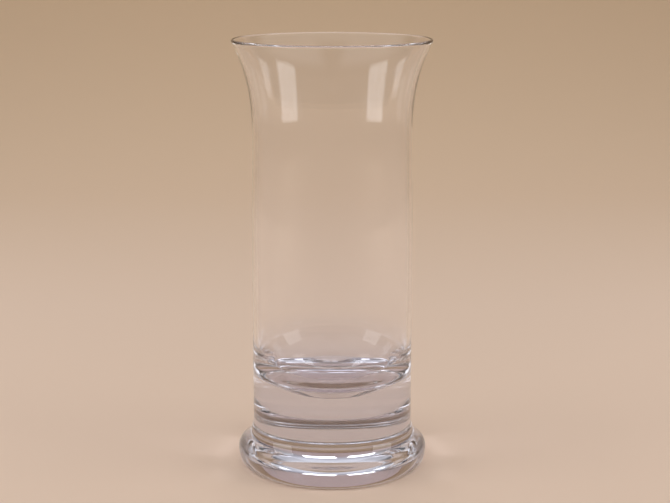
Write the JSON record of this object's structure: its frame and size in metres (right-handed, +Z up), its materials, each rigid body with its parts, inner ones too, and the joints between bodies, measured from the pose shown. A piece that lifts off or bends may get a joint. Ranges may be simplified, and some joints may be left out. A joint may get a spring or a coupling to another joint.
{
  "type": "beer glass",
  "caption": "Clear footed beer glass with a straight bowl, flared fire-polished lip, heavy solid base and a wide round-edged foot with a raised underside.",
  "frame": {"origin": "centre of the standing ring, on the table surface that the glass stands on", "axes": "+Z up along the axis of the glass, from the foot to the lip; X and Y are alike because the glass is turned"},
  "size_m": [0.0778, 0.0778, 0.1699],
  "materials": {
    "foot_glass": "clear solid glass, fire polished, faint wear on the standing ring",
    "base_glass": "clear solid glass, fire polished",
    "bowl_glass": "clear blown glass, fire polished lip"
  },
  "bodies": {
    "root": {"foot": "foot_glass", "base": "base_glass", "bowl": "bowl_glass"}
  },
  "joints": []
}
